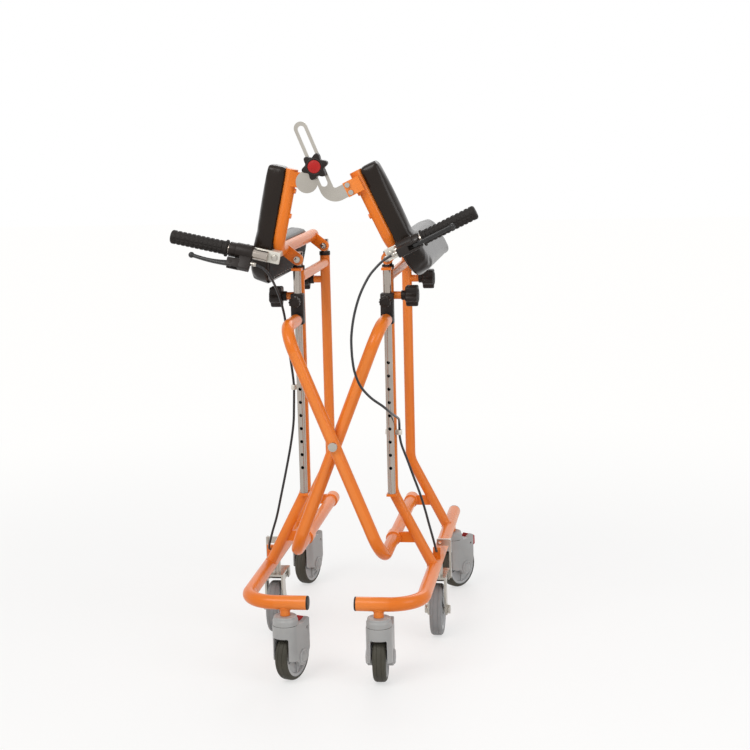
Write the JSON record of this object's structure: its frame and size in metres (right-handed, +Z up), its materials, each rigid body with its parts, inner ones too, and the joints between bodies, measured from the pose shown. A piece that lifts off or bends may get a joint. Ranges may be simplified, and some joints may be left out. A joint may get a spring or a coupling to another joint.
{
  "type": "folding forearm walker",
  "caption": "Folding forearm walking frame: tubular side frames on swivel casters, scissor brace, height posts, tilting padded armrests with brake grips, and braked centre wheels.",
  "frame": {"origin": "on the floor, under the middle of the walker as it stands half folded", "axes": "+X to the right as seen from the front casters, +Y from the front casters towards the user, +Z up"},
  "size_m": [0.6134, 0.7526, 1.0889],
  "materials": {
    "frame_orange": "gloss",
    "rail_chrome": "polished",
    "zinc_steel": "satin",
    "bar_alloy": "satin",
    "black_plastic": "matte",
    "pad_vinyl": "satin",
    "grip_rubber": "matte",
    "lever_black": "satin",
    "caster_grey": "satin",
    "caster_tyre": "matte",
    "wheel_grey": "matte",
    "pedal_red": "gloss",
    "cable_black": "gloss"
  },
  "bodies": {
    "right_frame": {"right_base_tube": "frame_orange", "right_front_upright": "frame_orange", "right_rear_upright": "frame_orange", "right_top_rail": "frame_orange", "right_slide_rail": "rail_chrome", "right_trim": "black_plastic", "right_wheel_fork": "zinc_steel", "right_cable_lower": "cable_black"},
    "left_frame": {"left_base_tube": "frame_orange", "left_front_upright": "frame_orange", "left_rear_upright": "frame_orange", "left_top_rail": "frame_orange", "left_slide_rail": "rail_chrome", "left_trim": "black_plastic", "left_wheel_fork": "zinc_steel", "left_cable_lower": "cable_black"},
    "brace_front": {"brace_front": "frame_orange", "centre_bolt": "zinc_steel"},
    "brace_rear": {"brace_rear": "frame_orange"},
    "right_slider": {"right_slider": "black_plastic"},
    "right_plunger": {"right_plunger": "black_plastic"},
    "right_posts": {"right_posts": "rail_chrome"},
    "right_armrest": {"right_armrest_tube": "frame_orange", "right_pad": "pad_vinyl", "right_handle_bar": "bar_alloy", "right_grip": "grip_rubber", "right_link_plate": "zinc_steel", "right_cable_upper": "cable_black"},
    "right_brake_lever": {"right_brake_lever": "lever_black"},
    "right_wheel": {"right_wheel": "wheel_grey"},
    "right_brake_arm": {"right_brake_arm": "zinc_steel"},
    "right_front_knob": {"right_front_knob": "black_plastic"},
    "right_rear_knob": {"right_rear_knob": "black_plastic"},
    "left_slider": {"left_slider": "black_plastic"},
    "left_plunger": {"left_plunger": "black_plastic"},
    "left_posts": {"left_posts": "rail_chrome"},
    "left_armrest": {"left_armrest_tube": "frame_orange", "left_pad": "pad_vinyl", "left_handle_bar": "bar_alloy", "left_grip": "grip_rubber", "left_link_plate": "zinc_steel", "left_cable_upper": "cable_black"},
    "left_brake_lever": {"left_brake_lever": "lever_black"},
    "left_wheel": {"left_wheel": "wheel_grey"},
    "left_brake_arm": {"left_brake_arm": "zinc_steel"},
    "left_front_knob": {"left_front_knob": "black_plastic"},
    "left_rear_knob": {"left_rear_knob": "black_plastic"},
    "star_knob": {"star_knob": "black_plastic"},
    "front_right_caster": {"front_right_caster": "caster_grey"},
    "front_right_caster_wheel": {"front_right_caster_wheel": "caster_tyre"},
    "front_right_caster_pedal": {"front_right_caster_pedal": "pedal_red"},
    "front_left_caster": {"front_left_caster": "caster_grey"},
    "front_left_caster_wheel": {"front_left_caster_wheel": "caster_tyre"},
    "front_left_caster_pedal": {"front_left_caster_pedal": "pedal_red"},
    "rear_right_caster": {"rear_right_caster": "caster_grey"},
    "rear_right_caster_wheel": {"rear_right_caster_wheel": "caster_tyre"},
    "rear_right_caster_pedal": {"rear_right_caster_pedal": "pedal_red"},
    "rear_left_caster": {"rear_left_caster": "caster_grey"},
    "rear_left_caster_wheel": {"rear_left_caster_wheel": "caster_tyre"},
    "rear_left_caster_pedal": {"rear_left_caster_pedal": "pedal_red"}
  },
  "joints": [
    {"name": "fold", "type": "hinge", "parent": "right_frame", "child": "brace_front", "pos_m": [0.11096, 0.00235, 0.228], "axis": [0, -1, 0], "range_deg": [0, 55]},
    {"name": "brace_cross", "type": "hinge", "parent": "brace_front", "child": "brace_rear", "pos_m": [0.01896, -0.25165, 0.45938], "axis": [0, -1, 0], "range_deg": [-110, 0]},
    {"name": "left_frame_pivot", "type": "hinge", "parent": "brace_rear", "child": "left_frame", "pos_m": [-0.07304, 0.00235, 0.228], "axis": [0, -1, 0], "range_deg": [0, 55]},
    {"name": "left_slider_pivot", "type": "hinge", "parent": "brace_front", "child": "left_slider", "pos_m": [-0.07304, -0.13565, 0.69076], "axis": [0, -1, 0], "range_deg": [-55, 0]},
    {"name": "right_slider_pivot", "type": "hinge", "parent": "brace_rear", "child": "right_slider", "pos_m": [0.11096, -0.13565, 0.69076], "axis": [0, -1, 0], "range_deg": [0, 55]},
    {"name": "height", "type": "slide", "parent": "right_frame", "child": "right_posts", "axis": [0, 0, 1], "range_m": [0, 0.15]},
    {"name": "left_height", "type": "slide", "parent": "left_frame", "child": "left_posts", "axis": [0, 0, 1], "range_m": [0, 0.15]},
    {"name": "right_armrest_tilt", "type": "hinge", "parent": "right_posts", "child": "right_armrest", "pos_m": [0.11096, 0.05235, 0.811], "axis": [0, -1, 0], "range_deg": [0, 59.2]},
    {"name": "left_armrest_tilt", "type": "hinge", "parent": "left_posts", "child": "left_armrest", "pos_m": [-0.07304, 0.05235, 0.811], "axis": [0, -1, 0], "range_deg": [-72.2, 0]},
    {"name": "star_knob_turn", "type": "hinge", "parent": "left_armrest", "child": "star_knob", "pos_m": [-0.0129, -0.19765, 1.00174], "axis": [0, 1, 0], "range_deg": [0, 360]},
    {"name": "right_front_knob_turn", "type": "hinge", "parent": "right_frame", "child": "right_front_knob", "pos_m": [0.15096, -0.09265, 0.735], "axis": [1, 0, 0], "range_deg": [0, 360]},
    {"name": "right_rear_knob_turn", "type": "hinge", "parent": "right_frame", "child": "right_rear_knob", "pos_m": [0.15096, 0.22235, 0.735], "axis": [1, 0, 0], "range_deg": [0, 360]},
    {"name": "right_plunger_push", "type": "slide", "parent": "right_slider", "child": "right_plunger", "axis": [0, 1, 0], "range_m": [0, 0.006]},
    {"name": "right_brake_squeeze", "type": "hinge", "parent": "right_armrest", "child": "right_brake_lever", "pos_m": [0.18513, -0.24736, 0.85062], "axis": [-0.4263, -0.1392, 0.8938], "range_deg": [0, 6], "stiffness_Nm_per_rad": 4},
    {"name": "right_brake_pull", "type": "hinge", "parent": "right_frame", "child": "right_brake_arm", "pos_m": [0.19396, 0.00635, 0.118], "axis": [1, 0, 0], "range_deg": [0, 5]},
    {"name": "right_wheel_spin", "type": "hinge", "parent": "right_frame", "child": "right_wheel", "pos_m": [0.19396, -0.03765, 0.055], "axis": [1, 0, 0], "continuous": true},
    {"name": "left_front_knob_turn", "type": "hinge", "parent": "left_frame", "child": "left_front_knob", "pos_m": [-0.11304, -0.09265, 0.735], "axis": [-1, 0, 0], "range_deg": [0, 360]},
    {"name": "left_rear_knob_turn", "type": "hinge", "parent": "left_frame", "child": "left_rear_knob", "pos_m": [-0.11304, 0.22235, 0.735], "axis": [-1, 0, 0], "range_deg": [0, 360]},
    {"name": "left_plunger_push", "type": "slide", "parent": "left_slider", "child": "left_plunger", "axis": [0, 1, 0], "range_m": [0, 0.006]},
    {"name": "left_brake_squeeze", "type": "hinge", "parent": "left_armrest", "child": "left_brake_lever", "pos_m": [-0.18226, -0.23355, 0.81735], "axis": [-0.1147, 0.848, -0.5174], "range_deg": [0, 6], "stiffness_Nm_per_rad": 4},
    {"name": "left_brake_pull", "type": "hinge", "parent": "left_frame", "child": "left_brake_arm", "pos_m": [-0.15604, 0.00635, 0.118], "axis": [1, 0, 0], "range_deg": [0, 5]},
    {"name": "left_wheel_spin", "type": "hinge", "parent": "left_frame", "child": "left_wheel", "pos_m": [-0.15604, -0.03765, 0.055], "axis": [1, 0, 0], "continuous": true},
    {"name": "front_right_caster_swivel", "type": "hinge", "parent": "right_frame", "child": "front_right_caster", "pos_m": [0.11146, -0.34765, 0.137], "axis": [0, 0, 1], "continuous": true},
    {"name": "front_right_caster_roll", "type": "hinge", "parent": "front_right_caster", "child": "front_right_caster_wheel", "pos_m": [0.11031, -0.32568, 0.05], "axis": [0.9986, 0.0523, 0], "continuous": true},
    {"name": "front_right_caster_lock", "type": "hinge", "parent": "front_right_caster", "child": "front_right_caster_pedal", "pos_m": [0.10937, -0.3077, 0.104], "axis": [-0.9986, -0.0523, 0], "range_deg": [0, 12]},
    {"name": "front_left_caster_swivel", "type": "hinge", "parent": "left_frame", "child": "front_left_caster", "pos_m": [-0.07354, -0.34765, 0.137], "axis": [0, 0, 1], "continuous": true},
    {"name": "front_left_caster_roll", "type": "hinge", "parent": "front_left_caster", "child": "front_left_caster_wheel", "pos_m": [-0.06638, -0.32685, 0.05], "axis": [0.9455, -0.3256, 0], "continuous": true},
    {"name": "front_left_caster_lock", "type": "hinge", "parent": "front_left_caster", "child": "front_left_caster_pedal", "pos_m": [-0.06052, -0.30983, 0.104], "axis": [-0.9455, 0.3256, 0], "range_deg": [0, 12]},
    {"name": "rear_right_caster_swivel", "type": "hinge", "parent": "right_frame", "child": "rear_right_caster", "pos_m": [0.19396, 0.29235, 0.137], "axis": [0, 0, 1], "continuous": true},
    {"name": "rear_right_caster_roll", "type": "hinge", "parent": "rear_right_caster", "child": "rear_right_caster_wheel", "pos_m": [0.20626, 0.31059, 0.05], "axis": [0.829, -0.5592, 0], "continuous": true},
    {"name": "rear_right_caster_lock", "type": "hinge", "parent": "rear_right_caster", "child": "rear_right_caster_pedal", "pos_m": [0.21633, 0.32551, 0.104], "axis": [-0.829, 0.5592, 0], "range_deg": [0, 12]},
    {"name": "rear_left_caster_swivel", "type": "hinge", "parent": "left_frame", "child": "rear_left_caster", "pos_m": [-0.15604, 0.29235, 0.137], "axis": [0, 0, 1], "continuous": true},
    {"name": "rear_left_caster_roll", "type": "hinge", "parent": "rear_left_caster", "child": "rear_left_caster_wheel", "pos_m": [-0.14998, 0.3135, 0.05], "axis": [0.9613, -0.2756, 0], "continuous": true},
    {"name": "rear_left_caster_lock", "type": "hinge", "parent": "rear_left_caster", "child": "rear_left_caster_pedal", "pos_m": [-0.14501, 0.3308, 0.104], "axis": [-0.9613, 0.2756, 0], "range_deg": [0, 12]}
  ],
  "couplings": [
    {"joint": "brace_cross", "follows": "fold", "ratio": -2},
    {"joint": "left_frame_pivot", "follows": "fold", "ratio": 1},
    {"joint": "left_slider_pivot", "follows": "fold", "ratio": -1},
    {"joint": "right_slider_pivot", "follows": "fold", "ratio": 1},
    {"joint": "left_height", "follows": "height", "ratio": 1},
    {"joint": "right_armrest_tilt", "follows": "fold", "ratio": 1.0756},
    {"joint": "left_armrest_tilt", "follows": "fold", "ratio": -1.3106},
    {"joint": "right_brake_pull", "follows": "right_brake_squeeze", "ratio": 0.83333},
    {"joint": "left_brake_pull", "follows": "left_brake_squeeze", "ratio": 0.83333}
  ]
}
